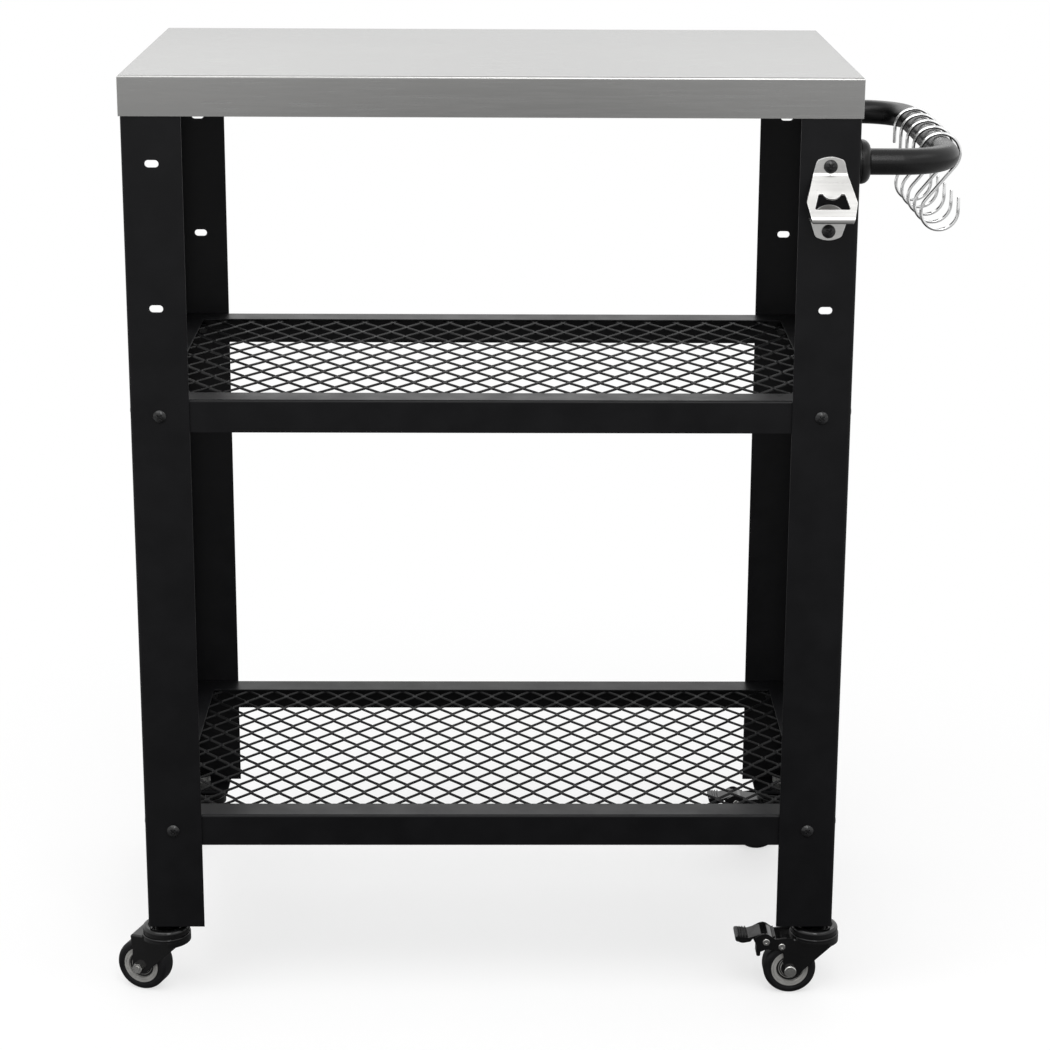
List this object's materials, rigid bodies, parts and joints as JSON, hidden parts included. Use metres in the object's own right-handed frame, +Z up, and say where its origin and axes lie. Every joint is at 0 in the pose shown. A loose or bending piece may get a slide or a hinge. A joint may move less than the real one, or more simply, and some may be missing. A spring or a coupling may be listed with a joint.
{
  "type": "grill cart",
  "caption": "Rolling outdoor grill cart with a stainless worktop, two open mesh shelves, a side handle with hanging hooks, a bottle opener and braked casters.",
  "frame": {"origin": "on the floor, below the middle of the bounding box with the casters as the picture shows them", "axes": "+Z up, +X towards the handle's side, +Y to the back"},
  "size_m": [0.8478, 0.4473, 0.943],
  "materials": {
    "brushed_stainless": "satin brushed along the length",
    "satin_stainless": "satin",
    "black_powder_coat": "satin powder coat",
    "black_tube": "satin powder coat",
    "black_collar": "satin powder coat",
    "black_mesh": "satin powder coat",
    "black_screw": "black oxide",
    "black_gloss_enamel": "gloss",
    "zinc_plated_steel": "zinc plate",
    "nickel_plate": "satin plate",
    "chrome_wire": "polished",
    "grey_hub": "matt",
    "black_tread": "matt"
  },
  "bodies": {
    "cart": {"worktop": "brushed_stainless", "worktop_stiffeners": "zinc_plated_steel", "worktop_nuts": "zinc_plated_steel", "leg_front_left": "black_powder_coat", "leg_front_right": "black_powder_coat", "leg_rear_left": "black_powder_coat", "leg_rear_right": "black_powder_coat", "leg_top_plates": "black_powder_coat", "caster_seat_plates": "black_powder_coat", "caster_stems": "black_gloss_enamel", "caster_stem_nuts": "zinc_plated_steel", "upper_shelf_frame": "black_powder_coat", "upper_shelf_mesh": "black_mesh", "upper_shelf_screws": "black_screw", "upper_shelf_nuts": "black_screw", "lower_shelf_frame": "black_powder_coat", "lower_shelf_mesh": "black_mesh", "lower_shelf_screws": "black_screw", "lower_shelf_nuts": "black_screw", "handle_tube": "black_tube", "handle_end_plugs": "zinc_plated_steel", "handle_collars": "black_collar", "handle_bolts": "zinc_plated_steel", "bottle_opener": "satin_stainless", "opener_screws": "black_screw", "opener_nuts": "zinc_plated_steel"},
    "hook_1_swing": {"hook_1": "chrome_wire"},
    "hook_2_swing": {"hook_2": "chrome_wire"},
    "hook_3_swing": {"hook_3": "chrome_wire"},
    "hook_4_swing": {"hook_4": "chrome_wire"},
    "hook_5_swing": {"hook_5": "chrome_wire"},
    "caster_front_left": {"caster_fork_front_left": "black_gloss_enamel", "caster_swivel_cap_front_left": "black_gloss_enamel", "caster_axle_bolt_front_left": "nickel_plate", "caster_axle_nut_front_left": "nickel_plate"},
    "wheel_front_left": {"caster_hub_front_left": "grey_hub", "caster_tyre_front_left": "black_tread"},
    "caster_front_right": {"caster_fork_front_right": "black_gloss_enamel", "caster_swivel_cap_front_right": "black_gloss_enamel", "caster_axle_bolt_front_right": "nickel_plate", "caster_axle_nut_front_right": "nickel_plate", "caster_brake_rivets_front_right": "nickel_plate"},
    "wheel_front_right": {"caster_hub_front_right": "grey_hub", "caster_tyre_front_right": "black_tread"},
    "brake_front_right": {"caster_brake_pedal_front_right": "black_gloss_enamel"},
    "caster_rear_left": {"caster_fork_rear_left": "black_gloss_enamel", "caster_swivel_cap_rear_left": "black_gloss_enamel", "caster_axle_bolt_rear_left": "nickel_plate", "caster_axle_nut_rear_left": "nickel_plate"},
    "wheel_rear_left": {"caster_hub_rear_left": "grey_hub", "caster_tyre_rear_left": "black_tread"},
    "caster_rear_right": {"caster_fork_rear_right": "black_gloss_enamel", "caster_swivel_cap_rear_right": "black_gloss_enamel", "caster_axle_bolt_rear_right": "nickel_plate", "caster_axle_nut_rear_right": "nickel_plate", "caster_brake_rivets_rear_right": "nickel_plate"},
    "wheel_rear_right": {"caster_hub_rear_right": "grey_hub", "caster_tyre_rear_right": "black_tread"},
    "brake_rear_right": {"caster_brake_pedal_rear_right": "black_gloss_enamel"}
  },
  "joints": [
    {"name": "hook_1_swing", "type": "hinge", "parent": "cart", "child": "hook_1_swing", "pos_m": [0.4018, -0.0741, 0.8595], "axis": [0, 1, 0], "range_deg": [-45, 45]},
    {"name": "hook_2_swing", "type": "hinge", "parent": "cart", "child": "hook_2_swing", "pos_m": [0.4018, -0.0306, 0.8595], "axis": [0, 1, 0], "range_deg": [-45, 45]},
    {"name": "hook_3_swing", "type": "hinge", "parent": "cart", "child": "hook_3_swing", "pos_m": [0.4018, 0.0129, 0.8595], "axis": [0, 1, 0], "range_deg": [-45, 45]},
    {"name": "hook_4_swing", "type": "hinge", "parent": "cart", "child": "hook_4_swing", "pos_m": [0.4018, 0.0564, 0.8595], "axis": [0, 1, 0], "range_deg": [-45, 45]},
    {"name": "hook_5_swing", "type": "hinge", "parent": "cart", "child": "hook_5_swing", "pos_m": [0.4018, 0.0999, 0.8595], "axis": [0, 1, 0], "range_deg": [-45, 45]},
    {"name": "swivel_front_left", "type": "hinge", "parent": "cart", "child": "caster_front_left", "pos_m": [-0.3724, -0.1697, 0.068], "axis": [0, 0, 1], "continuous": true},
    {"name": "wheel_spin_front_left", "type": "hinge", "parent": "caster_front_left", "child": "wheel_front_left", "pos_m": [-0.39589, -0.16115, 0.027], "axis": [0.342, 0.9397, 0], "continuous": true},
    {"name": "swivel_front_right", "type": "hinge", "parent": "cart", "child": "caster_front_right", "pos_m": [0.2928, -0.1697, 0.068], "axis": [0, 0, 1], "continuous": true},
    {"name": "wheel_spin_front_right", "type": "hinge", "parent": "caster_front_right", "child": "wheel_front_right", "pos_m": [0.2678, -0.1697, 0.027], "axis": [0, 1, 0], "continuous": true},
    {"name": "brake_press_front_right", "type": "hinge", "parent": "caster_front_right", "child": "brake_front_right", "pos_m": [0.2425, -0.1697, 0.059], "axis": [0, -1, 0], "range_deg": [0, 16]},
    {"name": "swivel_rear_left", "type": "hinge", "parent": "cart", "child": "caster_rear_left", "pos_m": [-0.3724, 0.1955, 0.068], "axis": [0, 0, 1], "continuous": true},
    {"name": "wheel_spin_rear_left", "type": "hinge", "parent": "caster_rear_left", "child": "wheel_rear_left", "pos_m": [-0.39589, 0.20405, 0.027], "axis": [0.342, 0.9397, 0], "continuous": true},
    {"name": "swivel_rear_right", "type": "hinge", "parent": "cart", "child": "caster_rear_right", "pos_m": [0.2928, 0.1955, 0.068], "axis": [0, 0, 1], "continuous": true},
    {"name": "wheel_spin_rear_right", "type": "hinge", "parent": "caster_rear_right", "child": "wheel_rear_right", "pos_m": [0.2678, 0.1955, 0.027], "axis": [0, 1, 0], "continuous": true},
    {"name": "brake_press_rear_right", "type": "hinge", "parent": "caster_rear_right", "child": "brake_rear_right", "pos_m": [0.2425, 0.1955, 0.059], "axis": [0, -1, 0], "range_deg": [0, 16]}
  ]
}
